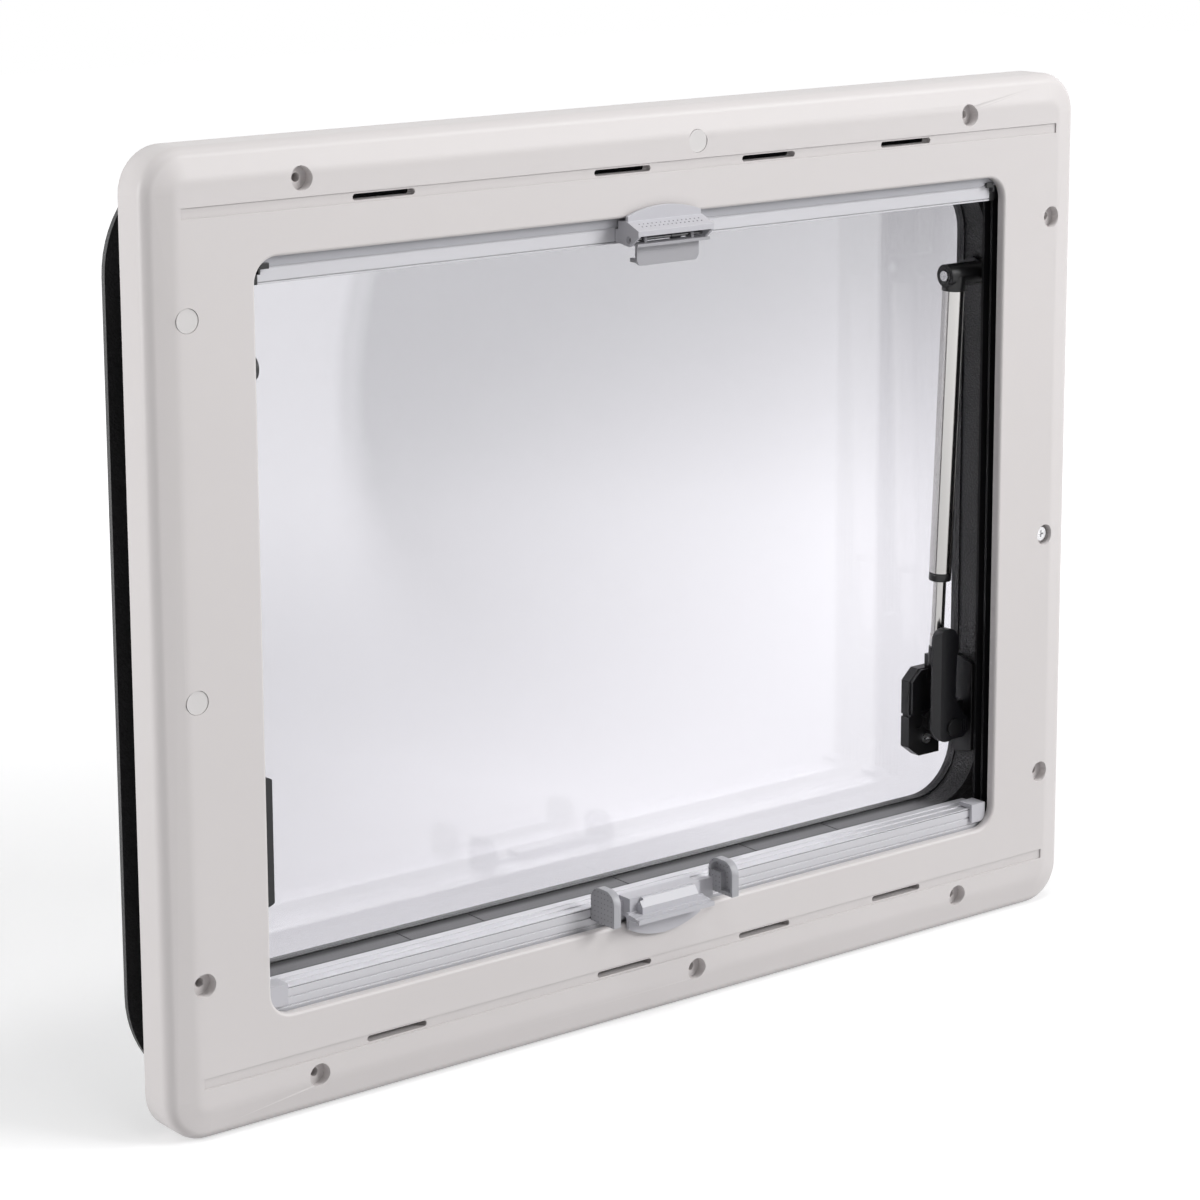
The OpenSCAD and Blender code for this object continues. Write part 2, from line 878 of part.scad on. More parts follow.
// Grip on the screen's bar: an arched plate over a sloping shelf with a lip, between two cheeks
module screen_grip()
{
    web_t = 2;
    sink = 1.4;
    shelf_low = view_half_h - 6.4;
    shelf_t = 2.2;
    color(GREY)
        on_wall()
            difference() {
                union() {
                    translate([0, cover_y - shelf_t, plate_low])
                        linear_extrude(plate_top - plate_low)
                            arched_plate(grip_w - 2, arch_h + shelf_t, arch_h - 3.3);
                    along_x(grip_w)
                        polygon([
                            [web_low, bar_front],
                            [web_y, bar_front],
                            [web_y, lip_under + 1],
                            [cover_y, lip_under + 1],
                            [cover_y, plate_top],
                            [shelf_low, lip_front],
                            [shelf_low - 3.5, lip_front],
                            [shelf_low - 3.5, lip_front - web_t],
                            [shelf_low - shelf_t + 0.6, lip_front - web_t],
                            [cover_y - shelf_t, plate_top - 0.4],
                            [cover_y - shelf_t, lip_under + 1 + web_t],
                            [web_y - web_t, lip_under + 1 + web_t],
                            [web_y - web_t, bar_front + web_t],
                            [web_low, bar_front + web_t]
                        ]);
                    for (s = [-1, 1])
                        translate([s * (grip_w - grip_t) / 2, 0, 0])
                            along_x(grip_t)
                                cheek_area();
                }
                translate([0, grip_pin_y, grip_pin_z])
                    rotate([0, 90, 0])
                        cylinder(d = grip_pin_d, h = grip_w + 2, center = true);
                for (s = [-1, 1])
                    translate([s * grip_w / 2, grip_pin_y, grip_pin_z])
                        rotate([0, 90, 0])
                            cylinder(d = grip_pin_d + 2.4, h = 2 * sink, center = true);
            }
}

// Flap that hangs on the pin under the shelf: ears, a lip to pull and a skirt with round corners
module screen_grip_flap()
{
    ear_t = 2;
    ear_r = 2.8;
    skirt_low = view_half_h - flap_drop;
    skirt_z = grip_pin_z - 0.4;
    skirt_t = 2;
    lip_y = grip_pin_y - 4;
    lip_t = 1.9;
    lip_out = lip_front - 2.5;
    corner_r = 4;
    color(GREY)
        on_wall()
            difference() {
                union() {
                    for (s = [-1, 1])
                        translate([s * (flap_w / 2 - 3 * ear_t), 0, 0])
                            along_x(ear_t) {
                                translate([grip_pin_y, grip_pin_z])
                                    circle(ear_r);
                                translate([lip_y, grip_pin_z - ear_r])
                                    square([grip_pin_y - lip_y, 2 * ear_r]);
                            }
                    translate([-flap_w / 2 - 0.5, lip_y, skirt_z - 1.5])
                        cube([flap_w + 1, lip_t, lip_out - skirt_z + 1.5]);
                    translate([-grip_w / 2 + 1.5, lip_y, lip_out - 2.2])
                        cube([grip_w - 3, lip_t, 2.2]);
                    translate([0, 0, skirt_z])
                        linear_extrude(skirt_t) {
                            translate([-flap_w / 2, skirt_low + corner_r])
                                square([flap_w, lip_y - skirt_low - corner_r + 1]);
                            translate([-flap_w / 2 + corner_r, skirt_low])
                                square([flap_w - 2 * corner_r, corner_r + 1]);
                            for (s = [-1, 1])
                                translate([s * (flap_w / 2 - corner_r), skirt_low + corner_r])
                                    circle(corner_r);
                        }
                    translate([-flap_w / 2, skirt_low + 2, skirt_z - 5])
                        cube([2, 2.5, 6]);
                }
                translate([0, grip_pin_y, grip_pin_z])
                    rotate([0, 90, 0])
                        cylinder(d = grip_pin_d, h = grip_w, center = true);
            }
}

// Pin of the flap with its small wound spring, one end of it resting on the grip
module grip_spring()
{
    coil_at = 3;
    coil_l = 8;
    wire_r = 0.4;
    pitch = 0.7;
    pin_half_l = grip_w / 2 - 1.6;
    color(STEEL)
        on_wall() {
            translate([0, grip_pin_y, grip_pin_z])
                rotate([0, 90, 0]) {
                    cylinder(d = grip_pin_d, h = 2 * pin_half_l, center = true);
                    translate([0, 0, coil_at])
                        rotate_extrude() {
                            square([grip_pin_d / 2, coil_l]);
                            for (along = [wire_r : pitch : coil_l - wire_r])
                                translate([grip_pin_d / 2 + wire_r - 0.1, along])
                                    circle(wire_r, $fn = 24);
                        }
                }
            translate([coil_at - 1.4, grip_pin_y - wire_r, lip_under + 3])
                cube([2 * wire_r, 2 * wire_r, grip_pin_z - lip_under - 3]);
        }
}

// Grip on the blind's bar: a raised block over a stepped shelf with a lip, and a plate arched down
module blind_grip()
{
    body_low = grip_low + 2.7;
    body_top = grip_low + 15.7;
    shelf_y = grip_low + 5;
    block_z = plate_top + 2.2;
    color(GREY)
        on_wall()
            difference() {
                union() {
                    translate([-hook_x + hook_t / 2, grip_low + 0.5, bar_front])
                        cube([2 * hook_x - hook_t, blind_cap_h - 0.5, 4.5]);
                    translate([-grip_w / 2 + 1.3, body_low, bar_front])
                        cube([grip_w - 2.6, body_top - body_low, plate_top - bar_front]);
                    translate([0, body_low + 1, plate_low])
                        linear_extrude(plate_top - plate_low)
                            mirror([0, 1])
                                arched_plate(grip_w - 1, 15.8, 7.5);
                    along_x(block_w)
                        polygon([
                            [body_low, plate_top - 1],
                            [body_top - 0.4, plate_top - 1],
                            [body_top - 0.4, block_z],
                            [body_top - 5.5, block_z + 3.6],
                            [shelf_y, block_z + 3.6],
                            [body_low, plate_top + 4]
                        ]);
                    along_x(grip_w + 2)
                        polygon([
                            [shelf_y + 2, plate_top - 1],
                            [shelf_y + 2, plate_top + 1.5],
                            [shelf_y + 1, plate_top + 1.5],
                            [shelf_y + 0.6, lip_front - 3],
                            [shelf_y, lip_front - 3],
                            [shelf_y, lip_front + 1],
                            [shelf_y - 3, lip_front + 1],
                            [shelf_y - 3, lip_front - 1],
                            [shelf_y - 1.8, lip_front - 1.5],
                            [body_low, plate_top - 1]
                        ]);
                }
                translate([-block_w / 2 - 1, body_top - 4, plate_top])
                    cube([4, 5, 3]);
            }
}

// Outline of a hook from the side: square below, round above, smaller by inset
module hook_area(inset)
{
    hook_low = grip_low + 4;
    hook_back = bar_front + inset;
    depth = lip_front + 1 - bar_front - 2 * inset;
    round_r = 9 - inset;
    translate([hook_low + inset, hook_back])
        square([hook_h - 2 * inset - round_r, depth]);
    translate([hook_low + inset, hook_back + round_r])
        square([hook_h - 2 * inset, depth - 2 * round_r]);
    for (z = [hook_back + round_r, hook_back + depth - round_r])
        translate([hook_low + hook_h - inset - round_r, z])
            circle(round_r);
}

// Hooks beside the grip, hollowed on the side that faces it but for a block in their lower rear
module blind_hooks()
{
    floor_t = 1.6;
    color(GREY)
        on_wall()
            for (s = [-1, 1])
                on_side(s < 0)
                    translate([hook_x, 0, 0])
                        difference() {
                            along_x(hook_t)
                                hook_area(0);
                            translate([-floor_t, 0, 0])
                                along_x(hook_t)
                                    difference() {
                                        hook_area(grip_t);
                                        translate([grip_low, bar_front])
                                            square([hook_h - 5, 12.5]);
                                    }
                        }
}

// Ends of the stay's axis, at the upper and lower pivots
stay_x = clear_half_w - stay_in;
stay_low_y = clear_low + stay_up;
stay_top = [stay_x, clear_up + clear_half_h - stay_down, -stay_top_depth];
stay_low = [stay_x, stay_low_y, -stay_low_depth];
stay_len = norm(stay_top - stay_low);
stay_tilt = asin((stay_low_depth - stay_top_depth) / stay_len);
socket_l = 7;
tube_l = stay_len - elbow_l - ring_l - rod_shown - foot_l - socket_l;

// Puts a piece on the stay's axis, with its own z running down from the upper pivot
module on_stay(along)
{
    translate(stay_top)
        rotate([90 + stay_tilt, 0, 0])
            translate([0, 0, along])
                children();
}

head_r = tube_d / 2 + 0.55;
arm_r = head_r - 0.4;
arm_out = head_r + 0.3;
boss_h = 0.4;

// Elbow of a stay: its barrel, the arm across to the outer frame and a round foot on the wall
module stay_bracket(left)
{
    arm = wall_x - stay_x;
    foot_r = 9.3;
    foot_t = 3;
    color(BLACK)
        on_wall()
            on_side(left) {
                translate(stay_top) {
                    translate([-arm_out, 0, 0])
                        rotate([0, 90, 0])
                            cylinder(r = arm_r, h = arm + arm_out);
                    translate([-arm_out - boss_h, 0, 0])
                        rotate([0, 90, 0])
                            cylinder(r = 5.5, h = boss_h + 1);
                    translate([arm - foot_t, 0, stay_top_depth - clamp_gap - foot_r - 0.3])
                        rotate([0, 90, 0])
                            cylinder(r = foot_r, h = foot_t);
                }
                on_stay(0)
                    cylinder(r = head_r, h = elbow_l);
            }
}

module stay_screw(left)
{
    color(STEEL)
        on_wall()
            on_side(left)
                translate(stay_top)
                    translate([-arm_out - boss_h, 0, 0])
                        rotate([0, -90, 0])
                            cross_head(7, 1);
}

module stay_tube(left)
{
    tube_end = 2;
    color(STEEL)
        on_wall()
            on_side(left)
                on_stay(elbow_l)
                    difference() {
                        cylinder(d = tube_d, h = tube_l);
                        translate([0, 0, tube_end])
                            cylinder(d = tube_d - 2 * tube_t, h = tube_l);
                    }
}

module stay_ring(left)
{
    color(BLACK)
        on_wall()
            on_side(left)
                on_stay(elbow_l + tube_l)
                    difference() {
                        cylinder(d = tube_d, h = ring_l);
                        translate([0, 0, -1])
                            cylinder(d = rod_d + 0.2, h = ring_l + 2);
                    }
}

module stay_rod(left)
{
    inside = 60;
    color(STEEL)
        on_wall()
            on_side(left)
                on_stay(elbow_l + tube_l - inside)
                    cylinder(d = rod_d, h = inside + ring_l + rod_shown);
}

module stay_foot(left)
{
    color(STEEL)
        on_wall()
            on_side(left)
                on_stay(stay_len - socket_l - foot_l)
                    cylinder(d = rod_d + 1, h = foot_l);
}

pivot_x = stay_x;
pivot_y = clear_low + pivot_up;
base_x = pivot_x - 6;
base_y = pivot_y + 7.5;
base_front = pane_in + base_depth;
hub_d = pin_d + 6;
hub_top = base_front + 7;
nose_low = hub_top + 1.3;
nose_t = 5;
lever_back = lever_face - lever_t;

// Base of a latch: a plate with cut corners, a raised rim round a hollow, a hub for the pin
// and the socket that takes the foot of the stay
module latch_base(left)
{
    half_w = base_w / 2;
    half_h = base_h / 2;
    rim_h = 2.5;
    hollow = 3;
    socket_r = rod_d / 2 + 1.1;
    color(BLACK)
        on_wall()
            on_side(left)
                difference() {
                    union() {
                        translate([base_x, base_y, pane_in])
                            linear_extrude(base_depth)
                                polygon([
                                    [-half_w, -half_h + 7.5],
                                    [-half_w, half_h - 8],
                                    [-half_w + 8.5, half_h],
                                    [half_w, half_h],
                                    [half_w, -half_h],
                                    [-half_w + 10, -half_h]
                                ]);
                        translate([base_x, base_y, base_front - 1])
                            linear_extrude(rim_h + 1)
                                polygon([
                                    [-half_w + 1, 0],
                                    [-half_w + 1, half_h - 8],
                                    [-half_w + 9, half_h - 0.5],
                                    [2, half_h - 0.5],
                                    [2, half_h - 4],
                                    [-5, half_h - 4],
                                    [-5, 0]
                                ]);
                        translate([pivot_x, pivot_y, pane_in])
                            cylinder(d = hub_d, h = hub_top - pane_in);
                        on_stay(stay_len - socket_l)
                            cylinder(r = socket_r, h = base_y + half_h < stay_low_y ? 2 * socket_l : socket_l);
                        translate([stay_x + socket_r - 1, 0, 0])
                            rotate([90, 0, -90])
                                linear_extrude(2 * socket_r - 2)
                                    polygon([
                                        [-base_y - half_h + 14, base_front - 2],
                                        [-stay_low_y - 1, base_front - 2],
                                        [-stay_low_y - 1, -stay_low_depth],
                                        [-stay_low_y + 6, -stay_low_depth - 1]
                                    ]);
                    }
                    translate([base_x - 4, base_y, base_front - hollow])
                        cube([half_w + 2, half_h - 9, hollow + 1]);
                    translate([base_x - 4, base_y - 7, base_front - 2])
                        cylinder(r = 5, h = 5);
                    translate([base_x - half_w - 1, base_y - 2.5, pane_in - 1])
                        cube([2.5, 2, base_depth + 2]);
                    translate([pivot_x, pivot_y, pane_in + 2])
                        cylinder(r = pin_d / 2 + pin_gap, h = 30);
                }
}

module latch_pin(left)
{
    color(BLACK)
        on_wall()
            on_side(left)
                translate([pivot_x, pivot_y, 0]) {
                    translate([0, 0, pane_in + 2])
                        cylinder(d = pin_d, h = lever_face + 0.3 - pane_in - 2);
                    translate([0, 0, lever_face + 0.3])
                        cylinder(d = pin_d + 4, h = 1.5);
                }
}

module latch_screws(left)
{
    color(STEEL)
        on_wall()
            on_side(left)
                translate([base_x + 1.5, base_y - 19.5, base_front])
                    cross_head(7, 2);
}

// Outline of the lever about its pin: a long arm that widens into the foot over the nose
module lever_area()
{
    right = lever_w / 2 - lever_offset;
    waist = 21;
    foot_x = nose_reach - 5;
    difference() {
        translate([-lever_offset, lever_l / 2 - lever_tail])
            rounded_rect(lever_w, lever_l, lever_w / 2 - 0.8);
        polygon([
            [right + 0.1, lever_l - lever_tail - 12],
            [right - 2, waist],
            [right + 0.1, waist]
        ]);
    }
    polygon([
        [right - 2, waist],
        [foot_x - 4.5, nose_h - 2],
        [foot_x, nose_h / 2],
        [foot_x, -nose_h / 2],
        [foot_x - 4.5, -lever_tail + 1],
        [-2, -lever_tail + 1],
        [-lever_offset, 0]
    ]);
}

module latch_lever(left)
{
    inner = -lever_offset - lever_w / 2;
    bevel_rise = (lever_t - 2) / lever_bevel;
    line_w = 0.7;
    color(DARK)
        on_wall()
            on_side(left)
                translate([pivot_x, pivot_y, 0])
                    difference() {
                        union() {
                            translate([0, 0, lever_back])
                                linear_extrude(lever_t)
                                    lever_area();
                            translate([0, 0, nose_low])
                                cylinder(d = hub_d, h = lever_back - nose_low + 0.1);
                            translate([0, -nose_h / 2, nose_low])
                                cube([nose_reach, nose_h, nose_t]);
                        }
                        translate([0, lever_l, 0])
                            rotate([90, 0, 0])
                                linear_extrude(2 * lever_l)
                                    polygon([
                                        [inner - 1, lever_back + 2 - bevel_rise],
                                        [inner - 1, lever_face + 1],
                                        [inner + lever_bevel + 1 / bevel_rise, lever_face + 1]
                                    ]);
                        for (x = [nose_reach - 11.5 : 2 : nose_reach - 6])
                            translate([x, -nose_h / 2 + 1, lever_face - 0.5])
                                cube([line_w, nose_h - 2, 1]);
                        translate([0, 0, base_front])
                            cylinder(r = pin_d / 2 + pin_gap, h = 40);
                    }
}

// Keeper on the side wall, with the ledge that the lever's nose turns over
module keeper(left)
{
    ledge_t = 4;
    ledge_h = 24;
    ledge_x = pivot_x + nose_reach - 4;
    keeper_top = -6;
    half_h = keeper_h / 2;
    color(BLACK)
        on_wall()
            on_side(left)
                intersection() {
                    translate([0, pivot_y + 8.5, 0]) {
                        translate([wall_x, 0, 0])
                            rotate([90, 0, -90])
                                linear_extrude(keeper_t)
                                    polygon([
                                        [-half_h, step_top + 0.2],
                                        [half_h, step_top + 0.2],
                                        [half_h - 4, keeper_top],
                                        [-half_h + 4, keeper_top]
                                    ]);
                        translate([ledge_x, -8.5 - ledge_h / 2, nose_low - 0.5 - ledge_t])
                            cube([wall_x - ledge_x, ledge_h, ledge_t]);
                    }
                    translate([0, 0, wall_out])
                        linear_extrude(wall_t)
                            clear_outline(neck_step);
                }
}

module stay_bracket_left() stay_bracket(true);
module stay_bracket_right() stay_bracket(false);
module stay_screw_left() stay_screw(true);
module stay_screw_right() stay_screw(false);
module stay_tube_left() stay_tube(true);
module stay_tube_right() stay_tube(false);
module stay_ring_left() stay_ring(true);
module stay_ring_right() stay_ring(false);
module stay_rod_left() stay_rod(true);
module stay_rod_right() stay_rod(false);
module stay_foot_left() stay_foot(true);
module stay_foot_right() stay_foot(false);
module latch_base_left() latch_base(true);
module latch_base_right() latch_base(false);
module latch_pin_left() latch_pin(true);
module latch_pin_right() latch_pin(false);
module latch_screws_left() latch_screws(true);
module latch_screws_right() latch_screws(false);
module latch_lever_left() latch_lever(true);
module latch_lever_right() latch_lever(false);
module keeper_left() keeper(true);
module keeper_right() keeper(false);

inner_frame();
screw_caps();
frame_screw();
outer_frame();
outer_flange();
frame_seal();
hinge_rail();
sash_hinge_profile();
sash_inner_pane();
sash_outer_pane();
upper_cassette();
lower_cassette();
guide_left();
guide_right();
screen_bar();
screen_bar_ends();
screen_grip();
screen_grip_flap();
grip_spring();
blind_bar();
blind_bar_ends();
blind_grip();
blind_hooks();
stay_bracket_left();
stay_bracket_right();
stay_screw_left();
stay_screw_right();
stay_tube_left();
stay_tube_right();
stay_ring_left();
stay_ring_right();
stay_rod_left();
stay_rod_right();
stay_foot_left();
stay_foot_right();
latch_base_left();
latch_base_right();
latch_pin_left();
latch_pin_right();
latch_screws_left();
latch_screws_right();
latch_lever_left();
latch_lever_right();
keeper_left();
keeper_right();
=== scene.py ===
import math

import bmesh
import bpy
from mathutils import Matrix, Vector


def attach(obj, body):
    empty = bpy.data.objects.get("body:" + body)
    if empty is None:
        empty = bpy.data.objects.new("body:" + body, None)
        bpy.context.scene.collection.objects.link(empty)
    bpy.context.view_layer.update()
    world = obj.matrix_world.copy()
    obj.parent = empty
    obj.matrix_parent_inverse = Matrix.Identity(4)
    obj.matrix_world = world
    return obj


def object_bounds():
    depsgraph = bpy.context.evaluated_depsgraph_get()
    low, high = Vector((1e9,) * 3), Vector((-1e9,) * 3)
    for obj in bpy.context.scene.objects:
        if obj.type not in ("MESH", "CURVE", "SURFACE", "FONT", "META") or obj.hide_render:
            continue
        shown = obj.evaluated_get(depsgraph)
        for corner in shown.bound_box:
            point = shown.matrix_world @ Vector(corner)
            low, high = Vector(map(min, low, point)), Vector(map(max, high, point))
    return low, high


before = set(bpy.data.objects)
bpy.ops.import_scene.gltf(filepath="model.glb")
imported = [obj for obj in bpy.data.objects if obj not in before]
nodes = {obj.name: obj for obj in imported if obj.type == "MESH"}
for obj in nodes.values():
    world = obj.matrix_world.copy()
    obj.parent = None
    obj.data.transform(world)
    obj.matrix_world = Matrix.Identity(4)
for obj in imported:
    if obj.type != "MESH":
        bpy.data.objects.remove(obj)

cadLow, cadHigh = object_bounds()
print("stage 1: frame loaded,", len(nodes), "nodes")


class Wire:  # a socket that takes part in sums, so that a finish reads like its formula
    def __init__(self, finish, socket):
        self.finish, self.socket = finish, socket

    def calc(self, operation, *terms):
        values = dict(enumerate(terms))
        return self.finish.add("ShaderNodeMath", {"operation": operation}, values)[0]

    def __add__(self, b):
        return self.calc("ADD", self, b)

    def __radd__(self, a):
        return self.calc("ADD", a, self)

    def __sub__(self, b):
        return self.calc("SUBTRACT", self, b)

    def __rsub__(self, a):
        return self.calc("SUBTRACT", a, self)

    def __mul__(self, b):
        return self.calc("MULTIPLY", self, b)

    def __rmul__(self, a):
        return self.calc("MULTIPLY", a, self)

    def __truediv__(self, b):
        return self.calc("DIVIDE", self, b)

    def __rtruediv__(self, a):
        return self.calc("DIVIDE", a, self)

    def __gt__(self, b):
        return self.calc("GREATER_THAN", self, b)

    def __lt__(self, b):
        return self.calc("LESS_THAN", self, b)

    def __abs__(self):
        return self.calc("ABSOLUTE", self)

    def atLeast(self, b):
        return self.calc("MAXIMUM", self, b)

    def atMost(self, b):
        return self.calc("MINIMUM", self, b)

    def root(self):
        return self.calc("SQRT", self)


class Outputs:  # a node's outputs, each as a Wire
    def __init__(self, finish, node):
        self.finish, self.node = finish, node

    def __getitem__(self, key):
        return Wire(self.finish, self.node.outputs[key])


class Finish:  # one node tree, of a material or of the world
    def __init__(self, owner):
        owner.use_nodes = True
        self.owner, self.tree = owner, owner.node_tree
        self.tree.nodes.clear()

    def add(self, kind, settings=None, values=None):
        node = self.tree.nodes.new(kind)
        for key, value in (settings or {}).items():
            setattr(node, key, value)
        for key, value in (values or {}).items():
            socket = node.inputs[key]
            if isinstance(value, Wire):
                self.tree.links.new(value.socket, socket)
            elif socket.type == "RGBA" and len(value) == 3:
                socket.default_value = (*value, 1)
            else:
                socket.default_value = value
        return Outputs(self, node)

    def place(self):
        return self.add("ShaderNodeTexCoord")["Object"]

    def facing(self):
        return self.add("ShaderNodeNewGeometry")["Normal"]

    def parts(self, vector):
        split = self.add("ShaderNodeSeparateXYZ", None, {0: vector})
        return split["X"], split["Y"], split["Z"]

    def joined(self, x, y, z):
        return self.add("ShaderNodeCombineXYZ", None, {"X": x, "Y": y, "Z": z})["Vector"]

    def scaled(self, vector, factors):
        values = {0: vector, 1: factors}
        return self.add("ShaderNodeVectorMath", {"operation": "MULTIPLY"}, values)[0]

    def noise(self, where, scale, detail, rough=0.5):
        values = {"Vector": where, "Scale": scale, "Detail": detail, "Roughness": rough}
        return self.add("ShaderNodeTexNoise", None, values)["Fac"]

    def cells(self, where, scale, jitter=1.0):
        values = {"Vector": where, "Scale": scale, "Randomness": jitter}
        return self.add("ShaderNodeTexVoronoi", None, values)["Distance"]

    def openness(self, reach, samples):  # 0 deep in a corner or groove, 1 out in the open
        values = {"Distance": reach}
        return self.add("ShaderNodeAmbientOcclusion", {"samples": samples}, values)["AO"]

    def ramp(self, value, start, end):  # 0 up to start, 1 from end on, smooth between
        settings = {"interpolation_type": "SMOOTHSTEP"}
        values = {"Value": value, "From Min": start, "From Max": end}
        return self.add("ShaderNodeMapRange", settings, values)[0]

    def mixed(self, share, a, b):  # 6, 7 and 2 are the Mix node's sockets for colours
        return self.add("ShaderNodeMix", {"data_type": "RGBA"}, {"Factor": share, 6: a, 7: b})[2]

    def shaded(self, share, colour, shades):  # the colour, a little darker here and lighter there
        dark, light = (tuple(min(c * shade, 1) for c in colour) for shade in shades)
        return self.mixed(share, dark, light)

    def relief(self, height, depth, normal=None):
        values = {"Height": height, "Distance": depth}
        if normal is not None:
            values["Normal"] = normal
        return self.add("ShaderNodeBump", None, values)["Normal"]

    def surface(self, values):
        shader = self.add("ShaderNodeBsdfPrincipled", None, values)[0]
        self.add("ShaderNodeOutputMaterial", None, {"Surface": shader})
        return self.owner


def startFinish(name):
    return Finish(bpy.data.materials.new(name))


def swing(noise, width):  # noise of 0 to 1 as a swing about zero
    return (noise - 0.5) * width


# Plain mouldings: fine grain, slightly uneven colour and shine
plasticLook = {
    "broadScale": 9, "detail": 3, "grainMix": 0.6, "shades": (0.965, 1.03),
    "grainSwing": 0.12, "broadSwing": 0.08,
}
plastics = {  # colour, roughness, grain, depth of the grain, sheen
    "capPlastic": ((0.70, 0.68, 0.675), 0.38, 900, 0.00001, 0.5),
    "sealRubber": ((0.09, 0.09, 0.094), 0.42, 700, 0.00005, 0.5),
    "darkAluminium": ((0.03, 0.03, 0.033), 0.35, 1200, 0.00001, 0.5),
    "guidePlastic": ((0.008, 0.008, 0.009), 0.5, 900, 0.00002, 0.3),
    "gripPlastic": ((0.54, 0.535, 0.57), 0.4, 1100, 0.00001, 0.5),
    # painted shade: the grip's plastic made darker for the flap, which hangs in shadow
    "shadedFlapPlastic": ((0.40, 0.395, 0.42), 0.4, 1100, 0.00001, 0.5),
    "blackPlastic": ((0.009, 0.009, 0.010), 0.36, 900, 0.00003, 0.5),
    "leverPlastic": ((0.008, 0.008, 0.010), 0.33, 800, 0.00004, 0.5),
    # painted shade: a darker copy of the grip's grey for the shelf's dots
    "dotShadePlastic": ((0.20, 0.20, 0.215), 0.5, 1400, 0.00001, 0.5),
}


def mouldedPlastic(s, name, colour, rough, grain, grainDepth, sheen):
    finish = startFinish(name)
    where = finish.place()
    broad = finish.noise(where, s["broadScale"], s["detail"])
    fine = finish.noise(where, grain, s["detail"], s["grainMix"])
    return finish.surface({
        "Base Color": finish.shaded(broad, colour, s["shades"]),
        "Roughness": rough + swing(fine, s["grainSwing"]) + swing(broad, s["broadSwing"]),
        "Specular IOR Level": sheen,
        "Normal": finish.relief(fine, grainDepth),
    })


# The hooks: moulded grey with rows of fine pits on their sides, darkened by painted shade
hookLook = {
    "name": "hookPlastic", "colour": (0.42, 0.42, 0.445), "pitColour": (0.17, 0.17, 0.185),
    "rough": 0.42, "grain": 1100, "detail": 3, "grainMix": 0.6, "grainSwing": 0.12,
    "pitch": 300, "pitRim": 0.16, "pitFloor": 0.096, "pitDepth": 0.0001, "grainHeight": 0.1,
    "sideways": 0.7,
}


def hookFinish(s):
    finish = startFinish(s["name"])
    where = finish.place()
    x, y, z = finish.parts(where)
    side = finish.parts(finish.facing())[0]
    spread = finish.cells(finish.joined(0.0, y, z), s["pitch"], 0.0)
    # painted shade: the pits take a darker colour, for the shade in them
    pits = finish.ramp(spread, s["pitRim"], s["pitFloor"]) * (side * side > s["sideways"])
    fine = finish.noise(where, s["grain"], s["detail"], s["grainMix"])
    return finish.surface({
        "Base Color": finish.mixed(pits, s["colour"], s["pitColour"]),
        "Roughness": s["rough"] + swing(fine, s["grainSwing"]),
        "Normal": finish.relief(fine * s["grainHeight"] - pits, s["pitDepth"]),
    })


# The inner frame: satin grain, with painted shade in its hollows and along the grooves
frameLook = {
    "name": "framePlastic", "colour": (0.70, 0.668, 0.664), "shades": (0.975, 1.02),
    "hollowShade": 0.72, "hollowReach": 0.006, "hollowSamples": 6,
    "rough": 0.4, "sheen": 0.3, "broadScale": 7, "detail": 3, "grain": 900, "grainMix": 0.65,
    "grainDepth": 0.000015, "grainSwing": 0.14, "broadSwing": 0.06,
    # outline of the frame, and how far in from it the margin's slope begins to fade and ends
    "middle": 0.28, "straightHalf": (0.338, 0.2655), "cornerRadius": 0.027,
    "slopeTop": 0.0155, "slopeFoot": 0.0221, "frontFacing": -0.8,
}


# The normal, bent so that the margin's slope fades into the front plate, where the mesh has a
# crisp line. Only faces that look to the front between slopeTop and slopeFoot are changed.
def softSlope(finish, where, s):
    x, y, z = finish.parts(where)
    normal = finish.facing()
    across, upward = abs(x) - s["straightHalf"][0], abs(z - s["middle"]) - s["straightHalf"][1]
    overX, overZ = across.atLeast(0.0), upward.atLeast(0.0)
    outside = (overX * overX + overZ * overZ).root()
    fromEdge = s["cornerRadius"] - outside - across.atLeast(upward).atMost(0.0)
    tilt = finish.ramp(fromEdge, s["slopeFoot"], s["slopeTop"])
    unbent = (finish.parts(normal)[1] > s["frontFacing"]) + (fromEdge > s["slopeFoot"])
    keep = tilt.atLeast(unbent.atMost(1.0))
    bent = finish.scaled(normal, finish.joined(keep, 1.0, keep))
    return finish.add("ShaderNodeVectorMath", {"operation": "NORMALIZE"}, {0: bent})[0]


def framePlasticFinish(s):
    finish = startFinish(s["name"])
    where = finish.place()
    broad = finish.noise(where, s["broadScale"], s["detail"])
    fine = finish.noise(where, s["grain"], s["detail"], s["grainMix"])
    # painted shade: ambient occlusion darkens the colour in hollows and along the grooves
    hollows = finish.openness(s["hollowReach"], s["hollowSamples"])
    paintedHollowShade = tuple(c * s["hollowShade"] for c in s["colour"])
    plain = finish.shaded(broad, s["colour"], s["shades"])
    return finish.surface({
        "Base Color": finish.mixed(hollows, paintedHollowShade, plain),
        "Roughness": s["rough"] + swing(fine, s["grainSwing"]) + swing(broad, s["broadSwing"]),
        "Specular IOR Level": s["sheen"],
        "Normal": finish.relief(fine, s["grainDepth"], softSlope(finish, where, s)),
    })


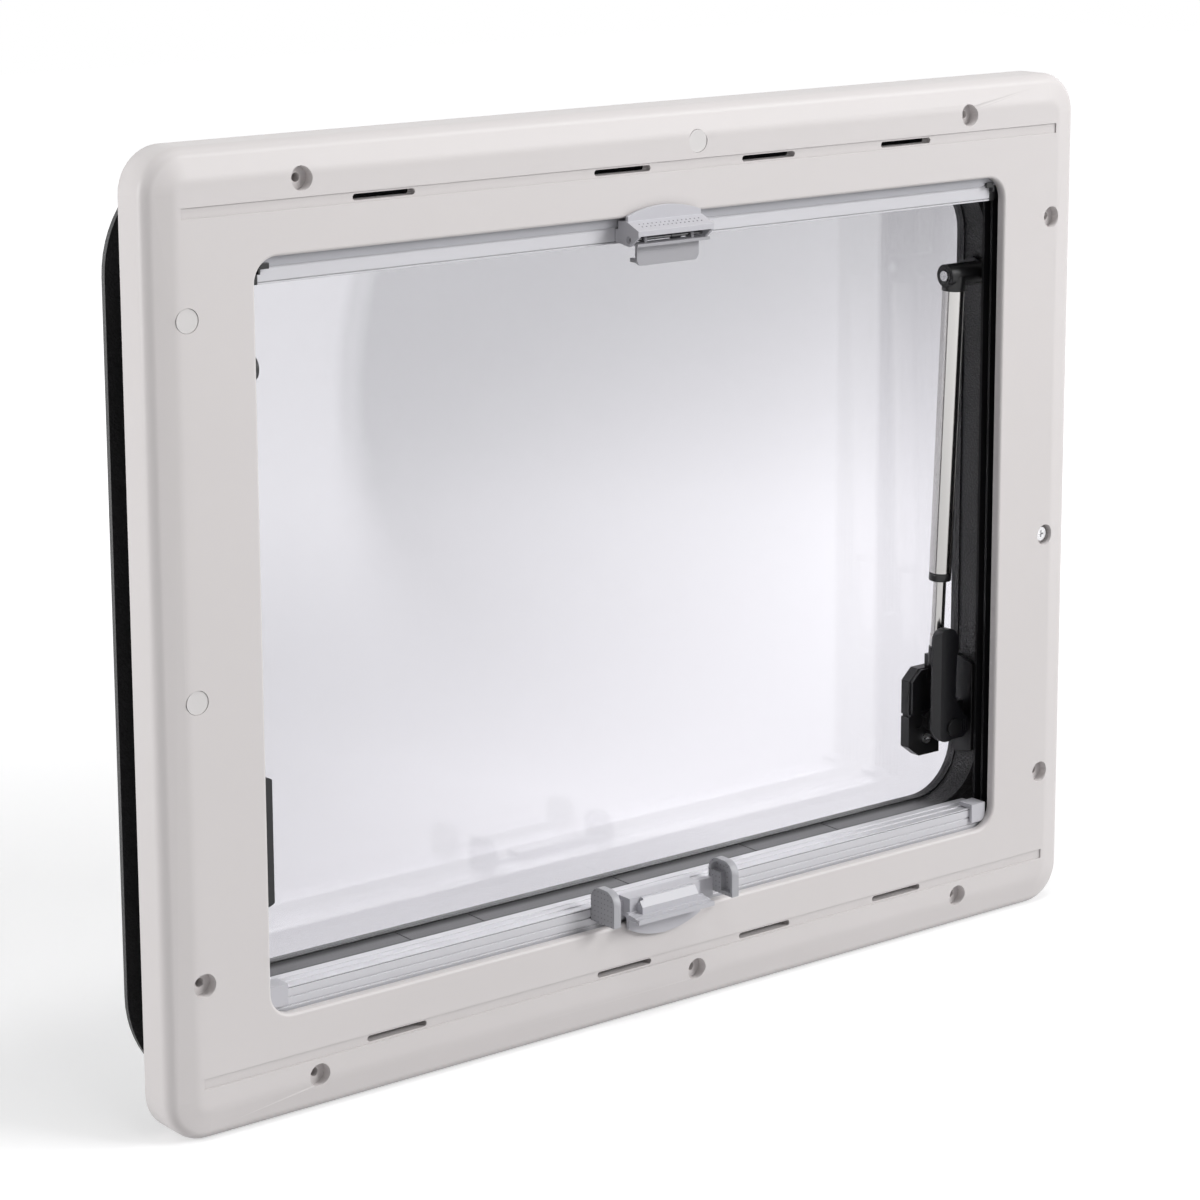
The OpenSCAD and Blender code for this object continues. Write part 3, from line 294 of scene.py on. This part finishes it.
# The outer frame: pebbled black, with a grey foam strip on the floor of its opening
outerLook = {
    "name": "outerPlastic", "colour": (0.021, 0.021, 0.022), "shades": (1.3, 0.7), "rough": 0.38,
    "pebble": 620, "grain": 1364, "detail": 3, "grainMix": 0.6, "grainHeight": 0.6,
    "grainSwing": 0.2, "depth": 0.00028,
    # the floor looks up, lies below floorTop and fades out towards the right corner
    "floorFacing": 0.6, "floorTop": 0.0651, "fade": (0.262, 0.292),
    "foamColours": ((0.17, 0.17, 0.18), (0.27, 0.268, 0.28)), "foamEdge": (0.05, 0.05, 0.053),
    "outerEdge": (-0.0125, -0.0045), "innerEdge": (-0.0235, -0.0185), "foamRough": 0.35,
    "poreScale": 1400, "poreDetail": 2, "poreMix": 0.7, "poreHeight": 0.5,
}


def outerFrameFinish(s):
    finish = startFinish(s["name"])
    where = finish.place()
    x, y, z = finish.parts(where)
    upward = finish.parts(finish.facing())[2]
    pebble = finish.cells(where, s["pebble"])
    fine = finish.noise(where, s["grain"], s["detail"], s["grainMix"])
    pores = finish.noise(where, s["poreScale"], s["poreDetail"], s["poreMix"])
    onFloor = (upward > s["floorFacing"]) * (z < s["floorTop"]) * (1 - finish.ramp(x, *s["fade"]))
    # painted shade: the foam darkens towards both of its edges
    outer, inner = finish.ramp(y, *s["outerEdge"]), finish.ramp(y, *s["innerEdge"])
    foam = finish.mixed(inner, s["foamEdge"], finish.mixed(pores, *s["foamColours"]))
    foam = finish.mixed(outer, foam, s["foamEdge"])
    black = finish.shaded(pebble, s["colour"], s["shades"])
    pebbles = (fine * s["grainHeight"] - pebble) * (1 - onFloor)
    return finish.surface({
        "Base Color": finish.mixed(onFloor, black, foam),
        "Roughness": s["rough"] + swing(fine, s["grainSwing"]) + onFloor * s["foamRough"],
        "Normal": finish.relief(pebbles + pores * onFloor * s["poreHeight"], s["depth"]),
    })


# Brushed metals and the cassettes' lacquered aluminium
metalLook = {
    "alongScale": 14.0, "acrossScale": 1400.0, "broadScale": 14, "detail": 2,
    "shades": (0.96, 1.03), "streakSwing": 0.14,
}
metals = {  # colour, roughness, axis of the brushing, its depth, metallic share
    "cassetteAluminium": ((0.36, 0.36, 0.385), 0.45, 0, 0.00001, 0.3),
    "polishedSteel": ((0.50, 0.49, 0.48), 0.16, 2, 0.000003, 1.0),
    "screwSteel": ((0.66, 0.66, 0.67), 0.28, 0, 0.00001, 1.0),
    "springSteel": ((0.20, 0.20, 0.205), 0.3, 0, 0.00001, 1.0),
}


def brushedMetal(s, name, colour, rough, along, depth, metal):
    finish = startFinish(name)
    where = finish.place()
    factors = [s["acrossScale"]] * 3
    factors[along] = s["alongScale"]
    streak = finish.noise(finish.scaled(where, factors), 1, s["detail"])
    broad = finish.noise(where, s["broadScale"], s["detail"])
    return finish.surface({
        "Base Color": finish.shaded(broad, colour, s["shades"]),
        "Metallic": metal,
        "Roughness": rough + swing(streak, s["streakSwing"]),
        "Normal": finish.relief(streak, depth),
    })


# The bars: satin aluminium, with painted shade in their narrow grooves
barLook = {
    "name": "barAluminium", "colour": (0.61, 0.605, 0.635), "shades": (0.98, 1.02),
    "metal": 0.2, "rough": 0.36, "streaks": (40, 1600, 1600), "streakDepth": 0.000002,
    "streakSwing": 0.1, "broadScale": 11, "detail": 2, "grooveColour": (0.05, 0.05, 0.055),
    "grooveReach": 0.0012, "grooveSamples": 8, "grooveShade": (0.3, 0.72),
}


def barFinish(s):
    finish = startFinish(s["name"])
    where = finish.place()
    streak = finish.noise(finish.scaled(where, s["streaks"]), 1, s["detail"])
    broad = finish.noise(where, s["broadScale"], s["detail"])
    # painted shade: ambient occlusion turns the narrow grooves dark
    hollows = finish.openness(s["grooveReach"], s["grooveSamples"])
    outside = finish.ramp(hollows, *s["grooveShade"])
    plain = finish.shaded(broad, s["colour"], s["shades"])
    return finish.surface({
        "Base Color": finish.mixed(outside, s["grooveColour"], plain),
        "Metallic": s["metal"],
        "Roughness": s["rough"] + swing(streak, s["streakSwing"]),
        "Normal": finish.relief(streak, s["streakDepth"]),
    })


# Clear acrylic with a faint lilac tint. Painted on it: a darker reflection, deeper towards its top,
# and a paler reflection sweeping down its left side: sweepEdge is where the sweep ends at
# sweepHeight, and it bends away below that
paneLook = {
    "name": "paneAcrylic", "rough": 0.02, "index": 1.49, "sheen": 0.3,
    "tint": (0.935, 0.928, 0.955), "deepTint": (0.655, 0.652, 0.67), "tintSlope": (0.05, 0.5),
    "tintLean": 0.32, "hazeScale": 2.3, "hazeDetail": 1, "hazeSwing": 0.06,
    "sweepTint": (0.92, 0.915, 0.94), "sweepShare": 0.42, "sweepHeight": 0.4,
    "sweepEdge": -0.185, "sweepBend": 2.0, "leastBlur": 0.012, "moreBlur": 0.16,
    "blurHeights": (0.4, 0.12), "fadeHeights": (0.1, 0.4),
}


def clearAcrylic(s):
    finish = startFinish(s["name"])
    where = finish.place()
    x, y, z = finish.parts(where)
    wobble = finish.noise(where, s["hazeScale"], s["hazeDetail"])
    # painted reflection: the real tint turns into a darker reflection towards the top and the left
    height = z - x * s["tintLean"] + swing(wobble, s["hazeSwing"])
    plain = finish.mixed(finish.ramp(height, *s["tintSlope"]), s["tint"], s["deepTint"])
    # painted reflection: a paler sweep down the left side, fading out low down
    drop = s["sweepHeight"] - z
    within = s["sweepEdge"] + drop * drop * s["sweepBend"] - x
    blur = s["leastBlur"] + finish.ramp(z, *s["blurHeights"]) * s["moreBlur"]
    sweep = finish.ramp(within / blur, -0.5, 0.5) * finish.ramp(z, *s["fadeHeights"])
    return finish.surface({
        "Base Color": finish.mixed(sweep * s["sweepShare"], plain, s["sweepTint"]),
        "Roughness": s["rough"],
        "IOR": s["index"],
        "Specular IOR Level": s["sheen"],
        "Transmission Weight": 1.0,
    })


finishes = {
    "hookPlastic": hookFinish(hookLook),
    "framePlastic": framePlasticFinish(frameLook),
    "outerPlastic": outerFrameFinish(outerLook),
    "barAluminium": barFinish(barLook),
    "paneAcrylic": clearAcrylic(paneLook),
}
for name, look in plastics.items():
    finishes[name] = mouldedPlastic(plasticLook, name, *look)
for name, look in metals.items():
    finishes[name] = brushedMetal(metalLook, name, *look)
print("stage 2: finishes made,", len(finishes))

finishOf = {
    "inner_frame": "framePlastic", "screw_caps": "capPlastic", "frame_screw": "screwSteel",
    "outer_frame": "outerPlastic", "outer_flange": "outerPlastic", "frame_seal": "sealRubber",
    "hinge_rail": "darkAluminium", "sash_hinge_profile": "darkAluminium",
    "sash_inner_pane": "paneAcrylic", "sash_outer_pane": "paneAcrylic",
    "upper_cassette": "cassetteAluminium", "lower_cassette": "cassetteAluminium",
    "guide": "guidePlastic", "screen_bar": "barAluminium", "screen_bar_ends": "blackPlastic",
    "screen_grip": "gripPlastic", "screen_grip_flap": "shadedFlapPlastic", "grip_spring": "springSteel",
    "blind_bar": "barAluminium", "blind_bar_ends": "gripPlastic",
    "blind_grip": "gripPlastic", "blind_hooks": "hookPlastic",
    "stay_bracket": "blackPlastic", "stay_screw": "screwSteel",
    "stay_tube": "polishedSteel", "stay_ring": "blackPlastic", "stay_rod": "polishedSteel",
    "stay_foot": "polishedSteel", "latch_base": "blackPlastic", "latch_pin": "blackPlastic",
    "latch_screws": "screwSteel", "latch_lever": "leverPlastic", "keeper": "blackPlastic",
}
softEdges = {  # width of the rounded edges in metres
    "screen_grip": 0.0006, "screen_grip_flap": 0.0005, "blind_grip": 0.0006,
    "blind_hooks": 0.0006, "blind_bar": 0.0002, "blind_bar_ends": 0.0008,
    "screen_bar": 0.0002, "screen_bar_ends": 0.0004, "stay_bracket": 0.0005,
    "stay_ring": 0.0005, "latch_base": 0.0006, "latch_pin": 0.0005, "latch_lever": 0.0009,
    "keeper": 0.0006, "screw_caps": 0.0004, "frame_screw": 0.0003, "latch_screws": 0.0003,
    "stay_screw": 0.0003, "inner_frame": 0.0008, "stay_foot": 0.0006,
}
rounding = {"weld": 0.00002, "segments": 2, "angle": 38}  # edges above 38 degrees are rounded


def sideless(name):
    return name.rsplit("_", 1)[0] if name.endswith(("_left", "_right")) else name


def roundEdges(obj, width, s):
    weld = obj.modifiers.new("weld", "WELD")
    weld.merge_threshold = s["weld"]
    bevel = obj.modifiers.new("softEdges", "BEVEL")
    bevel.width, bevel.segments, bevel.limit_method = width, s["segments"], "ANGLE"
    bevel.angle_limit = math.radians(s["angle"])
    bevel.harden_normals = True
    bevel.use_clamp_overlap = True


for name, obj in nodes.items():
    kind = sideless(name)
    obj.data.materials.clear()
    obj.data.materials.append(finishes[finishOf[kind]])
    if kind in softEdges:
        roundEdges(obj, softEdges[kind], rounding)
print("stage 3: nodes finished")


def addToScene(name, data):
    obj = bpy.data.objects.new(name, data)
    bpy.context.scene.collection.objects.link(obj)
    return obj


def addMesh(name, mesh, finishName):
    bmesh.ops.recalc_face_normals(mesh, faces=mesh.faces)
    data = bpy.data.meshes.new(name)
    mesh.to_mesh(data)
    mesh.free()
    data.materials.append(finishes[finishName])
    return addToScene(name, data)


# Two rows of small raised dots along the shelf of the upper grip. Upper and lower are the
# shelf's edges (y, z), and a dot's rings lie at these levels of its radius, the last one sunk.
shelfDots = {
    "count": 15, "halfSpan": 0.0235, "upper": (-0.0605, 0.5047), "lower": (-0.0720, 0.5001),
    "rows": (0.36, 0.62), "radius": 0.0006, "rise": 0.0004, "turns": 10,
    "levels": (0.45, 0.8, 1.0), "sunk": 0.0001,
}


def makeShelfDots(s):
    mesh = bmesh.new()
    upper, lower = Vector((0, *s["upper"])), Vector((0, *s["lower"]))
    down = (lower - upper).normalized()
    across = Vector((1, 0, 0))
    out = across.cross(down)
    if out.z < 0:
        out = -out

    def ringAt(middle, level):
        height = s["rise"] * (1 - level ** 2) - (s["sunk"] if level == s["levels"][-1] else 0)
        ring = []
        for k in range(s["turns"]):
            a = 2 * math.pi * k / s["turns"]
            side = across * math.cos(a) + down * math.sin(a)
            ring.append(mesh.verts.new(middle + side * s["radius"] * level + out * height))
        return ring

    for share in s["rows"]:
        for i in range(s["count"]):
            x = s["halfSpan"] * (2 * i / (s["count"] - 1) - 1)
            middle = upper.lerp(lower, share) + across * x
            top = mesh.verts.new(middle + out * s["rise"])
            rings = [ringAt(middle, level) for level in s["levels"]]
            for k in range(s["turns"]):
                n = (k + 1) % s["turns"]
                mesh.faces.new((top, rings[0][k], rings[0][n]))
                for a, b in zip(rings, rings[1:]):
                    mesh.faces.new((a[k], b[k], b[n], a[n]))
    for face in mesh.faces:
        face.smooth = True
    # the dots' dark grey is painted shade, so that the small raised dots read
    piece = addMesh("shelfDots", mesh, "dotShadePlastic")
    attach(piece, "window")


makeShelfDots(shelfDots)

# Walls that carry each air slot on behind the front of the inner frame
slotWalls = {
    "places": (-0.2058, -0.0295, 0.0880, 0.2058), "heights": (0.5358, 0.0242),
    "halfLength": 0.02185, "radius": 0.0019, "wall": 0.0011,
    "front": -0.0545, "back": -0.0485, "turns": 8,
}


def stadium(s, grow):  # points round a slot's outline, widened by grow
    points = []
    for side in (1, -1):
        for k in range(s["turns"] + 1):
            a = math.pi * (k / s["turns"] - 0.5)
            reach = s["radius"] + grow
            middle = side * (s["halfLength"] - s["radius"])
            points.append((middle + side * reach * math.cos(a), side * reach * math.sin(a)))
    return points


def makeSlotWalls(s):
    mesh = bmesh.new()
    inner, outer = stadium(s, 0), stadium(s, s["wall"])
    turnedOver = (inner, s["front"]), (inner, s["back"]), (outer, s["back"]), (outer, s["front"])
    for px in s["places"]:
        for pz in s["heights"]:
            loops = [[mesh.verts.new((px + x, y, pz + z)) for x, z in outline]
                     for outline, y in turnedOver]
            for a, b in zip(loops, loops[1:] + loops[:1]):
                for k in range(len(a)):
                    n = (k + 1) % len(a)
                    mesh.faces.new((a[k], a[n], b[n], b[k]))
    piece = addMesh("slotWalls", mesh, "framePlastic")
    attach(piece, "window")


makeSlotWalls(slotWalls)
print("stage 4: small pieces made")

camera = {  # angles in degrees: turned to the right, looking down, rolled
    "place": (-1.328, -1.697, 0.791), "turned": 37.96, "down": 11.09, "roll": -0.22,
    "lens": 103.4, "sensor": 36, "shift": -0.15, "clip": (0.01, 50),
}


def makeCamera(s):
    cam = addToScene("camera", bpy.data.cameras.new("camera"))
    turned, down, roll = (math.radians(s[key]) for key in ("turned", "down", "roll"))
    level = math.cos(down)
    ahead = Vector((math.sin(turned) * level, math.cos(turned) * level, -math.sin(down)))
    right = Vector((math.cos(turned), -math.sin(turned), 0))
    up = right.cross(ahead)
    axes = Matrix((right, up, -ahead)).transposed().to_4x4()
    cam.matrix_world = Matrix.Translation(s["place"]) @ axes @ Matrix.Rotation(roll, 4, "Z")
    cam.data.lens, cam.data.sensor_width, cam.data.shift_y = s["lens"], s["sensor"], s["shift"]
    cam.data.clip_start, cam.data.clip_end = s["clip"]
    bpy.context.scene.camera = cam


makeCamera(camera)

studio = {
    "floorSize": 12, "floorGap": 0.0004, "floorColour": (0.62, 0.62, 0.625),
    "nearGlow": 0.5, "farGlow": 0.8, "glowReach": (0.5, 1.6), "skyLight": 0.28,
    "aim": (0, 0, 0.3),
    "lamps": {  # place, width, height, watts
        "keyLamp": ((3.5, -4.3, 3.1), 3.0, 2.4, 265),
        "topLamp": ((0.2, -0.8, 3.3), 1.6, 0.5, 24),
        "leftLamp": ((-3.0, 1.3, 0.9), 1.0, 1.6, 58),
    },
}


def whiteToTheEye(finish):  # 1 where the camera, a mirror or glass looks, else 0
    path = finish.add("ShaderNodeLightPath")
    seen = path["Is Camera Ray"] + path["Is Glossy Ray"] + path["Is Transmission Ray"]
    return seen.atMost(1.0)


# A pale floor that shows white round the part, keeps its shadow and lights it no more than paper
def makeFloor(s):
    half, low = s["floorSize"] / 2, cadLow.z - s["floorGap"]
    corners = [(x, y, low) for x, y in ((-half, -half), (half, -half), (half, half), (-half, half))]
    data = bpy.data.meshes.new("floor")
    data.from_pydata(corners, [], [(0, 1, 2, 3)])
    floor = addToScene("floor", data)
    finish = startFinish("floorPaper")
    away = finish.add("ShaderNodeVectorMath", {"operation": "LENGTH"}, {0: finish.place()})["Value"]
    # painted shade: the glow is weaker near the part, so the floor there is a little darker even
    # outside its real shadow
    glow = s["nearGlow"] + finish.ramp(away, *s["glowReach"]) * (s["farGlow"] - s["nearGlow"])
    matt = finish.add("ShaderNodeBsdfDiffuse", None, {"Color": s["floorColour"]})[0]
    shine = finish.add("ShaderNodeEmission", None, {"Strength": whiteToTheEye(finish) * glow})[0]
    both = finish.add("ShaderNodeAddShader", None, {0: matt, 1: shine})[0]
    finish.add("ShaderNodeOutputMaterial", None, {"Surface": both})
    data.materials.append(finish.owner)


def makeWorld(s):  # white where it is seen, skyLight strong where it lights the part
    world = bpy.data.worlds.new("studio")
    bpy.context.scene.world = world
    sky = Finish(world)
    strength = s["skyLight"] + whiteToTheEye(sky) * (1 - s["skyLight"])
    values = {"Color": (1, 1, 1), "Strength": strength}
    light = sky.add("ShaderNodeBackground", None, values)[0]
    sky.add("ShaderNodeOutputWorld", None, {"Surface": light})


def makeLamps(s):
    for name, (place, width, height, watts) in s["lamps"].items():
        lamp = bpy.data.lights.new(name, "AREA")
        lamp.shape, lamp.size, lamp.size_y, lamp.energy = "RECTANGLE", width, height, watts
        obj = addToScene(name, lamp)
        obj.location = place
        obj.rotation_mode = "QUATERNION"
        ahead = Vector(s["aim"]) - Vector(place)
        obj.rotation_quaternion = ahead.to_track_quat("-Z", "Y")


makeFloor(studio)
makeWorld(studio)
makeLamps(studio)
bpy.context.scene.view_settings.view_transform = "Standard"
print("stage 5: camera, floor and lamps")
